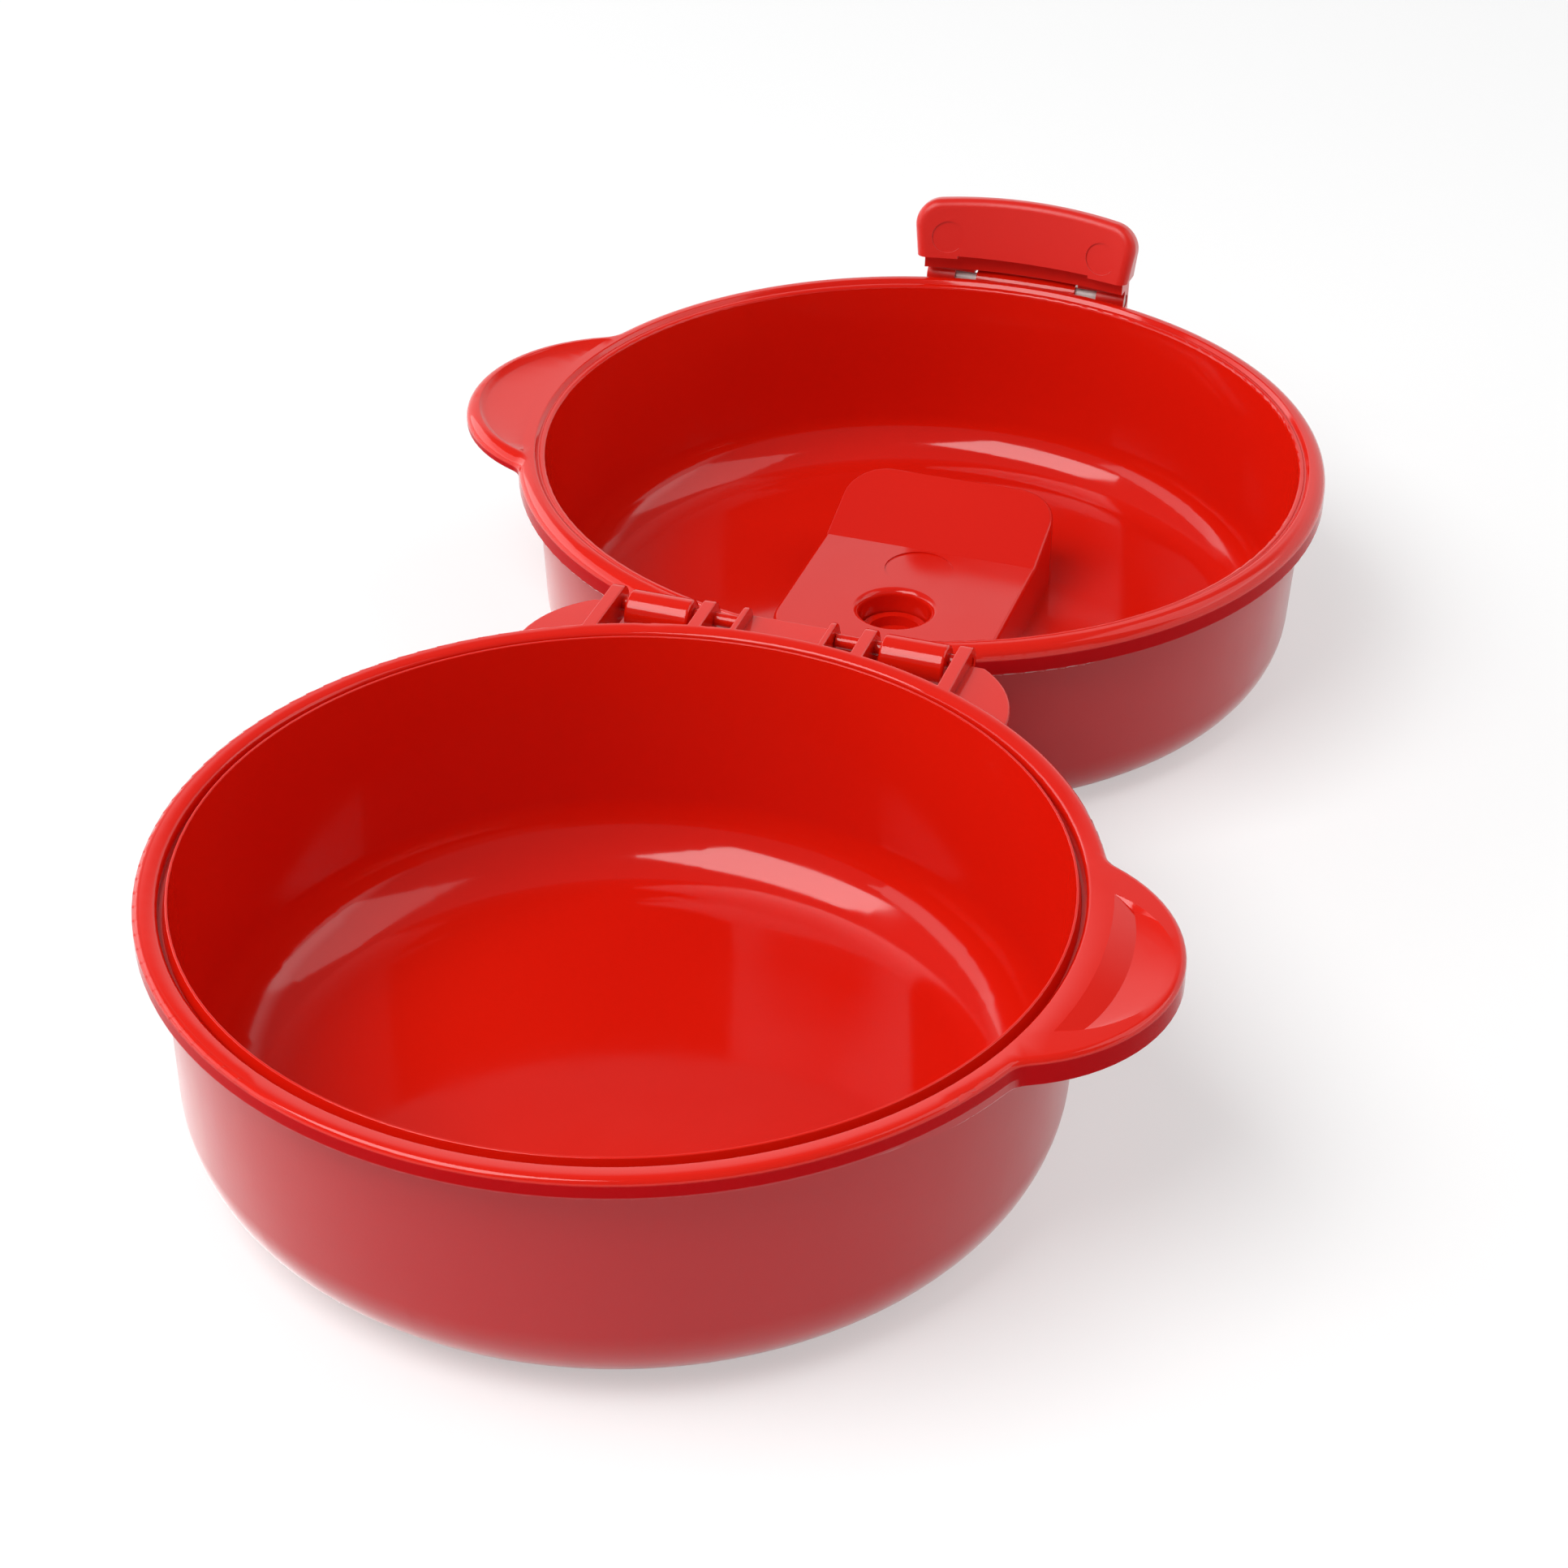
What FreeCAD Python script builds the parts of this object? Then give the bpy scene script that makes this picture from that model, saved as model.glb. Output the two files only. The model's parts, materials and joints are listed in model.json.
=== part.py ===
import FreeCAD, Part
import math
import os

os.makedirs("parts", exist_ok=True)

# A two-bowl egg cooker, opened flat: base at the origin, lid upside down behind it. Lengths are in
# millimetres and angles in degrees. +Z is up, +Y runs from the base to the lid.

# Base bowl
base_height = 36.2
base_rim_radius = 58.0
base_rim_depth = 2.7
base_rim_edge = 0.8
base_rim_lower_edge = 0.3
base_rim_overhang = 3.0
base_wall = 1.25
base_draft = 1.3
base_corner = 11.5
base_floor = 1.5
lip_thickness = 0.75
lip_crest = 0.3
lip_edge = 0.12
rim_land = 2.9
groove_depth = 1.6
groove_bevel = 0.5

# Ears that stick out of both rims, one on each side; the base ear is deeper than its rim
ear_blend = 4.0
base_ear_radius = 22.5
base_ear_length = 10.0
base_ear_depth = 3.65
base_ear_ramp_start = 42.0
base_ear_ramp_length = 9.0
lid_ear_radius = 23.6
lid_ear_length = 10.55
lid_ear_depth = 2.7
lid_ear_turn = 2.1
lid_ear_ridge = 0.3
lid_ear_recess = 0.8
lid_ear_land = 0.8

# Thumb dish in the base ear: a crescent that falls from the rim to a valley and a slope up to the border
dish_gap = 0.3
dish_depth = 0.9
dish_valley_depth = 0.8
dish_valley_width = 3.0
dish_valley_radius = 25.6
dish_land = 0.3
dish_border_radius = 14.85

# Hinge between the bowls
hinge_offset = 4.45
barrel_radius = 2.35
barrel_bulge = 0.55
barrel_edge = 0.45
barrel_side_gap = 1.15
closing_gap = 0.35
outer_lug_start = 23.5
outer_lug_width = 1.9
inner_lug_start = 10.4
inner_lug_width = 1.8
small_lug_start = 5.7
small_lug_width = 0.85
lug_edge = 0.25
hinge_plate_drop = 2.0
hinge_plate_thickness = 1.6
hinge_plate_edge = 0.4
hinge_plate_end_radius = 15.5
hinge_plate_width = 67.4
hinge_pin_radius = 1.0
hinge_pin_end_gap = 0.2
arm_thickness = 2.4
arm_bite = 5.0
arm_rise = 1.0

# Clearances of every pin: tight where it is held, running where it turns
held_gap = 0.02
running_gap = 0.06

# Lid bowl
lid_overhang = 1.6
lid_rim_depth = 4.2
lid_rim_edge = 1.8
lid_rim_lower_edge = 0.4
lid_rim_overhang = 2.7
lid_crown_width = 2.4
lid_crown_edge = 0.35
lid_slope_width = 0.6
lid_valley_depth = 0.75
lid_valley_edge = 0.2
lid_ridge_gap = 0.25
lid_ridge_drop = 0.45
lid_ridge_outer_edge = 0.15
lid_ridge_edge = 0.5
lid_wall = 1.5
lid_draft = 3.2
lid_corner = 9.0
lid_floor = 1.4

# Vent housing moulded into the lid floor, with a pocket that is open on the lid's outer side
vent_width = 33.6
vent_near_reach = 23.5
vent_far_reach = 22.4
vent_height = 9.3
vent_ramp_start = 6.9
vent_ramp_angle = 18.0
vent_corner = 6.5
vent_edge = 0.6
vent_wall = 1.4
vent_hole_shift = 11.4
vent_bore_radius = 5.35
vent_mouth_edge = 1.05
vent_tube_wall = 1.3
vent_tube_length = 4.6
vent_mark_radius = 5.2
vent_mark_shift = 1.2
mark_depth = 0.2

# Vent flap, which turns on two moulded stubs in the pocket's side walls
flap_thickness = 1.8
flap_recess = 0.4
flap_side_gap = 0.4
flap_finger_gap = 2.5
flap_corner = 4.0
flap_pivot_height = 2.6
stub_radius = 1.0
stub_depth = 0.9
stub_end_gap = 0.15
plug_gap = 0.3
plug_entry = 1.0
plug_seal_gap = 0.3
plug_ring_wall = 1.2
plug_ring_depth = 1.6

# Latch clip on the lid, drawn hooked under the base rim and then swung out by its lean
latch_lean = 5.0
latch_pin_offset = 0.8
latch_pin_drop = 1.2
latch_pin_radius = 1.0
latch_pin_end_gap = 0.2
knuckle_radius = 1.7
knuckle_gap = 0.4
lid_knuckle_half = 8.2
latch_knuckle_start = 11.8
latch_knuckle_web = 1.0
latch_neck_half = 16.4
latch_neck_gap = 1.3
latch_back = 2.6
hook_bite = 1.0
hook_gap = 0.25
hook_notch_half = 10.8
hook_notch_depth = 0.45
window_gap = 0.35
panel_height = 9.8
panel_lean = 1.6
panel_top_thickness = 2.2
panel_arch_rise = 1.2
panel_front_edge = 1.4
panel_back_edge = 0.6
panel_root_half = 17.4
panel_top_half = 18.7
panel_corner = 4.0
panel_mark_radius = 2.5
panel_mark_inset = 4.8
panel_mark_rise = 3.4

# Length that cutters run past the faces they cut, and the tolerance for finding an edge
overrun = 2.0
tiny = 0.001
full_turn = 360.0
half_turn = 180.0

# Sizes that follow from the ones above
base_wall_radius = base_rim_radius - base_rim_overhang
lid_rim_radius = base_rim_radius + lid_overhang
lid_wall_radius = lid_rim_radius - lid_rim_overhang
hinge_reach = base_rim_radius + hinge_offset
hinge_height = base_height - barrel_radius
lid_axis = 2 * hinge_reach
base_rim_bottom = base_height - base_rim_depth
lid_height = base_height - 2 * barrel_radius - closing_gap
lid_rim_bottom = lid_height - lid_rim_depth
base_join = base_rim_radius - (rim_land - groove_bevel + base_rim_edge) / 2
lid_join = lid_rim_radius - (lid_crown_width + lid_rim_edge) / 2
inner_lug_end = inner_lug_start + inner_lug_width
outer_lug_end = outer_lug_start + outer_lug_width
small_lug_end = small_lug_start + small_lug_width
plate_bottom = base_height - hinge_plate_drop - hinge_plate_thickness
latch_pin_reach = lid_rim_radius + latch_pin_offset
latch_pin_height = lid_height - latch_pin_drop
pocket_half_width = vent_width / 2 - vent_wall
pocket_near_end = vent_wall - vent_near_reach
pocket_far_end = vent_far_reach - vent_wall
hub_radius = flap_pivot_height - flap_recess
flap_pivot = pocket_far_end - (vent_corner - vent_wall) - hub_radius - flap_side_gap

V = FreeCAD.Vector
up = V(0, 0, 1)
rightward = V(1, 0, 0)
centre = V(0, 0, 0)


def rounded_wire(corners):
    """Closed wire in the XZ plane through points given as x, z and the radius that rounds the corner."""
    points = [V(x, 0, z) for x, z, radius in corners]
    count = len(corners)
    firsts = []
    lasts = []
    edges = []
    for index in range(count):
        here = points[index]
        back = (points[index - 1] - here).normalize()
        ahead = (points[(index + 1) % count] - here).normalize()
        radius = corners[index][2]
        half_angle = back.getAngle(ahead) / 2
        reach = radius / math.tan(half_angle)
        firsts.append(here + back * reach)
        lasts.append(here + ahead * reach)
        if radius > 0:
            inward = (back + ahead).normalize()
            middle = here + inward * (radius / math.sin(half_angle) - radius)
            edges.append(Part.Arc(firsts[index], middle, lasts[index]).toShape())
    for index in range(count):
        start = lasts[index]
        end = firsts[(index + 1) % count]
        if start.distanceToPoint(end) > tiny:
            edges.append(Part.makeLine(start, end))
    return Part.Wire(Part.__sortEdges__(edges))


def turned(corners):
    """Solid of revolution about the upright axis through the origin."""
    return Part.Face(rounded_wire(corners)).revolve(centre, up, full_turn)


def core(wall_radius, wall, join, rim_bottom, top):
    """Space inside the middle of a bowl's wall, and inside the join of its rim ring."""
    inside = Part.makeCylinder(wall_radius - wall / 2, top + 2 * overrun, V(0, 0, -overrun))
    return inside.fuse(Part.makeCylinder(join, top - rim_bottom + overrun, V(0, 0, rim_bottom)))


def is_upright(edge):
    box = edge.BoundBox
    return box.ZLength > tiny and box.XLength < tiny and box.YLength < tiny


def is_level(edge, z):
    box = edge.BoundBox
    return abs(box.ZMin - z) < tiny and abs(box.ZMax - z) < tiny


def rim_with_ear(radius, depth, top, ear_radius, ear_length, top_edge, lower_edge):
    """Round rim plate with one ear blended into it and its edges rounded."""
    disc = Part.makeCylinder(radius, depth, V(0, 0, top - depth))
    ear_middle = radius + ear_length - ear_radius
    ear = Part.makeCylinder(ear_radius, depth, V(ear_middle, 0, top - depth))
    plate = disc.fuse(ear).removeSplitter()
    joins = [edge for edge in plate.Edges if is_upright(edge) and abs(edge.CenterOfMass.y) > tiny]
    plate = plate.makeFillet(ear_blend, joins)
    plate = plate.makeFillet(top_edge, [edge for edge in plate.Edges if is_level(edge, top)])
    return plate.makeFillet(lower_edge, [edge for edge in plate.Edges if is_level(edge, top - depth)])


def rounded_block(width, length, height, corner):
    """Block on the floor plane, centred on the origin, with round upright corners."""
    block = Part.makeBox(width, length, height, V(-width / 2, -length / 2, 0))
    return block.makeFillet(corner, [edge for edge in block.Edges if is_upright(edge)])


def rod(radius, start, end, y, z):
    """Cylinder along X."""
    return Part.makeCylinder(radius, end - start, V(start, y, z), rightward)


def slab(x_start, x_end, y_start, y_end, z_start, z_end):
    size = V(x_end - x_start, y_end - y_start, z_end - z_start)
    return Part.makeBox(size.x, size.y, size.z, V(x_start, y_start, z_start))


def mirrored(shape):
    """The same shape on the left side."""
    return shape.mirror(centre, rightward)


def both_sides(shape):
    return shape.fuse(mirrored(shape))


def thumb_dish():
    """Cutter for the dish in the base ear: it falls from the rim to a valley and climbs to the border."""
    inner_edge = base_rim_radius + dish_gap
    valley_middle = inner_edge + dish_valley_width - dish_valley_radius
    border_reach = base_rim_radius + base_ear_length - base_rim_edge - dish_land
    border_middle = border_reach - dish_border_radius
    floor = base_height - dish_depth
    floor_place = V(border_middle, 0, floor)
    floor_ring = Part.Wire(Part.makeCircle(dish_valley_radius, V(valley_middle, 0, floor)))
    border_ring = Part.Wire(Part.makeCircle(dish_border_radius, V(border_middle, 0, base_height)))
    wall = Part.makeCone(dish_border_radius - dish_depth, dish_border_radius, dish_depth, floor_place)
    hollow = Part.makeLoft([floor_ring, border_ring], True, True).common(wall)
    above = Part.makeCylinder(dish_border_radius, overrun, V(border_middle, 0, base_height))
    fall_share = dish_valley_width / dish_valley_depth
    kept_bottom = base_height - 2 * dish_depth
    kept = turned([
        (0, kept_bottom, 0),
        (inner_edge + 2 * dish_depth * fall_share, kept_bottom, 0),
        (inner_edge, base_height, 0),
        (inner_edge, base_height + 2 * overrun, 0),
        (0, base_height + 2 * overrun, 0),
    ])
    return hollow.fuse(above).cut(kept)


def base_ear():
    """Deeper part of the base ear, which ramps down from the rim's depth on both sides."""
    plate = rim_with_ear(
        base_rim_radius, base_ear_depth, base_height, base_ear_radius, base_ear_length,
        base_rim_edge, base_rim_lower_edge,
    )
    ramp_end = base_ear_ramp_start + base_ear_ramp_length
    bottom = base_height - base_ear_depth
    reach = base_rim_radius + base_ear_length + overrun
    side = rounded_wire([
        (base_ear_ramp_start, base_height, 0),
        (base_ear_ramp_start, base_rim_bottom + base_rim_lower_edge, 0),
        (ramp_end, bottom, 0),
        (reach, bottom, 0),
        (reach, base_height, 0),
    ])
    wedge = Part.Face(side).extrude(V(0, 2 * base_rim_radius, 0))
    wedge.translate(V(0, -base_rim_radius, 0))
    return plate.common(wedge)


def lug(start, width):
    """Hinge lug on the right: a bar from the wall with a round end about the hinge axis."""
    bottom = base_height - 2 * barrel_radius
    bar = slab(start, start + width, 0, hinge_reach, bottom, base_height)
    bar = bar.fuse(rod(barrel_radius, start, start + width, hinge_reach, hinge_height)).removeSplitter()
    outline = [edge for edge in bar.Edges if edge.BoundBox.XLength < tiny and edge.BoundBox.YMax > tiny]
    return bar.makeFillet(lug_edge, outline)


def hinge_plate():
    """Plate behind the rim that carries the lugs, with round ends and a rounded top edge."""
    back = hinge_reach + barrel_radius
    top = plate_bottom + hinge_plate_thickness
    end_x = hinge_plate_width / 2 - hinge_plate_end_radius
    end_place = V(end_x, back - hinge_plate_end_radius, plate_bottom)
    end = Part.makeCylinder(hinge_plate_end_radius, hinge_plate_thickness, end_place)
    middle = slab(-end_x, end_x, 0, back, plate_bottom, top)
    plate = middle.fuse(both_sides(end)).removeSplitter()
    outline = [edge for edge in plate.Edges if is_level(edge, top) and edge.BoundBox.YMax > back - tiny]
    return plate.makeFillet(hinge_plate_edge, outline)


def plate_slot(start, end):
    """Cutter for an opening in the hinge plate between two lugs."""
    return slab(start, end, 0, hinge_reach + barrel_radius + overrun, plate_bottom - overrun, base_height)


def base_hinge():
    """Hinge plate with its openings and lugs, up to the wall and rim of the base."""
    hinge = hinge_plate()
    for start, end in ((small_lug_end, inner_lug_start), (inner_lug_end, outer_lug_start)):
        hinge = hinge.cut(both_sides(plate_slot(start, end)))
    for start, width in (
        (small_lug_start, small_lug_width),
        (inner_lug_start, inner_lug_width),
        (outer_lug_start, outer_lug_width),
    ):
        hinge = hinge.fuse(both_sides(lug(start, width)))
    return hinge


def base_shell():
    """Bowl with the lip, groove and inner part of the rim, turned in one profile."""
    slope = math.tan(math.radians(base_draft))
    foot_radius = base_wall_radius - slope * base_rim_bottom
    inside_floor = foot_radius - base_wall + slope * base_floor
    inside_top = foot_radius - base_wall + slope * base_height
    lip_outer = inside_top + lip_thickness
    land_inner = base_rim_radius - rim_land
    groove_bottom = base_height - groove_depth
    return turned([
        (0, 0, 0),
        (foot_radius, 0, base_corner),
        (base_wall_radius, base_rim_bottom, 0),
        (base_join, base_rim_bottom, 0),
        (base_join, base_height, 0),
        (land_inner + groove_bevel, base_height, 0),
        (land_inner, base_height - groove_bevel, 0),
        (land_inner, groove_bottom, 0),
        (lip_outer, groove_bottom, 0),
        (inside_top + lip_crest, base_height, lip_edge),
        (inside_top, base_height, lip_edge),
        (inside_floor, base_floor, base_corner - base_wall),
        (0, base_floor, 0),
    ])


def base_bowl():
    rim = rim_with_ear(
        base_rim_radius, base_rim_depth, base_height, base_ear_radius, base_ear_length,
        base_rim_edge, base_rim_lower_edge,
    )
    outside = rim.fuse(base_ear()).fuse(base_hinge())
    outside = outside.cut(core(base_wall_radius, base_wall, base_join, base_rim_bottom, base_height))
    body = base_shell().fuse(outside).removeSplitter().cut(thumb_dish())
    hole_end = outer_lug_end + overrun
    pin_hole = rod(hinge_pin_radius + held_gap, small_lug_end, hole_end, hinge_reach, hinge_height)
    return body.cut(both_sides(pin_hole)).removeSplitter()


def hinge_pin():
    """Right hinge pin, from the small lug through the barrel to just inside the outer lug's face."""
    start = small_lug_end + hinge_pin_end_gap
    return rod(hinge_pin_radius, start, outer_lug_end - hinge_pin_end_gap, hinge_reach, hinge_height)


def barrel_with_arm():
    """Right hinge barrel, fuller below and towards the base, and the arm that joins it to the lid rim."""
    start = inner_lug_end + barrel_side_gap
    end = outer_lug_start - barrel_side_gap
    pivot = V(start, -hinge_reach, hinge_height)
    anchor = V(start, arm_bite - lid_rim_radius, lid_rim_bottom + arm_rise)
    along = anchor - pivot
    aside = along.cross(rightward).normalize() * (arm_thickness / 2)
    outline = Part.makePolygon([pivot + aside, anchor + aside, anchor - aside, pivot - aside, pivot + aside])
    arm = Part.Face(outline).extrude(rightward * (end - start))
    middle_y = -hinge_reach - barrel_bulge
    middle_z = hinge_height - barrel_bulge
    barrel = rod(barrel_radius + barrel_bulge, start, end, middle_y, middle_z)
    rings = [edge for edge in barrel.Edges if edge.BoundBox.XLength < tiny]
    return arm.fuse(barrel.makeFillet(barrel_edge, rings))


def lid_ear_face():
    """Cutter for the sunken face of the lid ear, which leaves a ridge along its edge."""
    middle = lid_rim_radius + lid_ear_length - lid_ear_radius
    radius = lid_ear_radius - lid_rim_edge - lid_ear_ridge
    floor = lid_height - lid_ear_recess
    hollow = Part.makeCone(radius - lid_ear_recess, radius, lid_ear_recess, V(middle, 0, floor))
    hollow = hollow.fuse(Part.makeCylinder(radius, overrun, V(middle, 0, lid_height)))
    hollow = hollow.cut(Part.makeCylinder(lid_rim_radius - lid_ear_land, lid_height + 2 * overrun))
    hollow.rotate(centre, up, half_turn + lid_ear_turn)
    return hollow


def lid_knuckle():
    """Middle knuckle of the latch on the outside of the lid rim."""
    knuckle = rod(knuckle_radius, -lid_knuckle_half, lid_knuckle_half, latch_pin_reach, latch_pin_height)
    half = lid_knuckle_half
    bottom = latch_pin_height - knuckle_radius
    return knuckle.fuse(slab(-half, half, lid_wall_radius, latch_pin_reach, bottom, latch_pin_height))


def vent_mass(inset, bottom):
    """Vent housing drawn in by an inset on all sides and its top: level on the near half, then a ramp."""
    near = inset - vent_near_reach
    far = vent_far_reach - inset
    top = vent_height - inset
    ramp = math.radians(vent_ramp_angle)
    crease = vent_ramp_start + inset * math.tan(ramp / 2)
    peak = top + (far - crease) * math.tan(ramp)
    width = vent_width - 2 * inset
    block = rounded_block(width, far - near, peak - bottom, vent_corner - inset)
    block.translate(V(0, (near + far) / 2, bottom))
    above = Part.makePolygon([
        V(-vent_width, near - overrun, top),
        V(-vent_width, crease, top),
        V(-vent_width, far + overrun, peak + overrun * math.tan(ramp)),
        V(-vent_width, far + overrun, peak + 2 * overrun),
        V(-vent_width, near - overrun, peak + 2 * overrun),
        V(-vent_width, near - overrun, top),
    ])
    return block.cut(Part.Face(above).extrude(rightward * (2 * vent_width)))


def vent_housing():
    """Raised housing on the lid floor, solid apart from its pocket, with the vent tube inside."""
    block = vent_mass(0, 0)
    outline = [edge for edge in block.Edges if edge.BoundBox.ZMin > vent_height - tiny]
    outline = [edge for edge in outline if edge.BoundBox.XLength < vent_width - tiny and not is_upright(edge)]
    block = block.makeFillet(vent_edge, outline)
    tube_place = V(0, -vent_hole_shift, vent_height - vent_tube_length)
    tube = Part.makeCylinder(vent_bore_radius + vent_tube_wall, vent_tube_length - vent_wall, tube_place)
    return block.cut(vent_pocket()).fuse(tube)


def vent_pocket():
    return vent_mass(vent_wall, -overrun)


def vent_hole():
    """Cutter for the bore of the vent tube, with a rounded mouth where it opens into the bowl."""
    low = vent_height - vent_tube_length - overrun
    high = vent_height + overrun
    mouth = vent_bore_radius + vent_mouth_edge
    flare = turned([
        (0, low, 0),
        (vent_bore_radius, low, 0),
        (vent_bore_radius, vent_height, vent_mouth_edge),
        (mouth, vent_height, 0),
        (mouth, high, 0),
        (0, high, 0),
    ])
    flare.translate(V(0, -vent_hole_shift, 0))
    return flare


def lid_shell():
    """Lid bowl with the inner part of its crown, the valley and the ridge, turned in one profile."""
    slope = math.tan(math.radians(lid_draft))
    foot_radius = lid_wall_radius - slope * lid_rim_bottom
    ridge_top = lid_height - lid_ridge_drop
    inside_floor = foot_radius - lid_wall + slope * lid_floor
    inside_top = foot_radius - lid_wall + slope * ridge_top
    crown_inner = lid_rim_radius - lid_crown_width
    valley = crown_inner - lid_slope_width
    return turned([
        (0, 0, 0),
        (foot_radius, 0, lid_corner),
        (lid_wall_radius, lid_rim_bottom, 0),
        (lid_join, lid_rim_bottom, 0),
        (lid_join, lid_height, 0),
        (crown_inner, lid_height, lid_crown_edge),
        (valley, lid_height - lid_valley_depth, lid_valley_edge),
        (valley - lid_ridge_gap, ridge_top, lid_ridge_outer_edge),
        (inside_top, ridge_top, lid_ridge_edge),
        (inside_floor, lid_floor, lid_corner - lid_wall),
        (0, lid_floor, 0),
    ])


def lid_rim():
    """Crown of the lid with its ear, and the skirt below it."""
    crown = rim_with_ear(
        lid_rim_radius, lid_ear_depth, lid_height, lid_ear_radius, lid_ear_length,
        lid_rim_edge, lid_rim_lower_edge,
    )
    crown.rotate(centre, up, half_turn + lid_ear_turn)
    skirt_top = lid_height - lid_rim_edge
    skirt = turned([
        (0, lid_rim_bottom, 0),
        (lid_rim_radius, lid_rim_bottom, lid_rim_lower_edge),
        (lid_rim_radius, skirt_top, 0),
        (0, skirt_top, 0),
    ])
    return crown.fuse(skirt)


def lid_bowl():
    """Lid upside down, about its own axis."""
    outside = lid_rim().fuse(lid_knuckle()).fuse(both_sides(barrel_with_arm()))
    outside = outside.cut(core(lid_wall_radius, lid_wall, lid_join, lid_rim_bottom, lid_height))
    body = lid_shell().fuse(outside).removeSplitter().cut(lid_ear_face())
    body = body.cut(vent_pocket()).fuse(vent_housing())
    body = body.cut(vent_hole())
    mark_place = V(0, vent_mark_shift, vent_height - mark_depth)
    body = body.cut(Part.makeCylinder(vent_mark_radius, overrun, mark_place))
    socket = pocket_half_width + stub_depth
    body = body.cut(rod(stub_radius + running_gap, -socket, socket, flap_pivot, flap_pivot_height))
    hinge_bore = rod(hinge_pin_radius + running_gap, 0, outer_lug_end, -hinge_reach, hinge_height)
    body = body.cut(both_sides(hinge_bore))
    pin_reach = latch_neck_half
    latch_bore = rod(latch_pin_radius + held_gap, -pin_reach, pin_reach, latch_pin_reach, latch_pin_height)
    return body.cut(latch_bore).removeSplitter()


def vent_flap():
    """Flap in the lid's pocket, about the lid axis, with its plug in the vent tube."""
    half_width = pocket_half_width - flap_side_gap
    free_end = pocket_near_end + flap_finger_gap
    length = flap_pivot - free_end + flap_corner
    plate = rounded_block(2 * half_width, length, flap_thickness, flap_corner)
    plate.translate(V(0, free_end + length / 2, flap_recess))
    plate = plate.cut(slab(-vent_width, vent_width, flap_pivot, flap_pivot + length, -overrun, vent_height))
    flap = plate.fuse(rod(hub_radius, -half_width, half_width, flap_pivot, flap_pivot_height))
    stub_end = pocket_half_width + stub_depth - stub_end_gap
    flap = flap.fuse(rod(stub_radius, -stub_end, stub_end, flap_pivot, flap_pivot_height))
    tube_end = vent_height - vent_tube_length
    nose_top = tube_end + plug_entry
    nose_radius = vent_bore_radius - plug_gap
    place = V(0, -vent_hole_shift, flap_recess)
    seal = Part.makeCylinder(vent_bore_radius + vent_tube_wall, tube_end - plug_seal_gap - flap_recess, place)
    nose = Part.makeCylinder(nose_radius, nose_top - flap_recess, place)
    cup_place = V(0, -vent_hole_shift, nose_top - plug_ring_depth)
    cup = Part.makeCylinder(nose_radius - plug_ring_wall, plug_ring_depth + overrun, cup_place)
    return flap.fuse(seal).fuse(nose).cut(cup).removeSplitter()


def panel_layer(front, back_root, back_top, ledge):
    """Curved layer of the clip's panel between a front and a back that both lean outwards."""
    rise = panel_height + overrun
    rise_share = rise / panel_height
    return turned([
        (front, ledge, 0),
        (back_root, ledge, 0),
        (back_root + (back_top - back_root) * rise_share, ledge + rise, 0),
        (front + panel_lean * rise_share, ledge + rise, 0),
    ])


def panel_outline(ledge):
    """Clip outline as seen from the front, with an arched top, run right through the clip's thickness."""
    top = ledge + panel_height
    shoulder = top - panel_arch_rise
    sides = [V(-panel_root_half, 0, ledge), V(panel_root_half, 0, ledge)]
    shoulders = [V(panel_top_half, 0, shoulder), V(-panel_top_half, 0, shoulder)]
    arch = Part.Arc(shoulders[0], V(0, 0, top), shoulders[1]).toShape()
    lines = [Part.makeLine(sides[0], sides[1]), Part.makeLine(sides[1], shoulders[0])]
    closing = Part.makeLine(shoulders[1], sides[0])
    face = Part.Face(Part.Wire(lines + [arch, closing]))
    block = face.extrude(V(0, latch_pin_reach + knuckle_radius + latch_back, 0))
    corners = [edge for edge in block.Edges if is_level(edge, shoulder) and edge.BoundBox.YLength > tiny]
    return block.makeFillet(panel_corner, corners)


def rounded_panel(panel, ledge):
    """Panel with the front and back edges of its outline rounded."""
    for pick, radius in ((min, panel_front_edge), (max, panel_back_edge)):
        sloped = [face for face in panel.Faces if isinstance(face.Surface, Part.Cone)]
        wall = pick(sloped, key=lambda face: face.CenterOfMass.y)
        panel = panel.makeFillet(radius, [edge for edge in wall.Edges if not is_level(edge, ledge)])
    return panel


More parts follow.
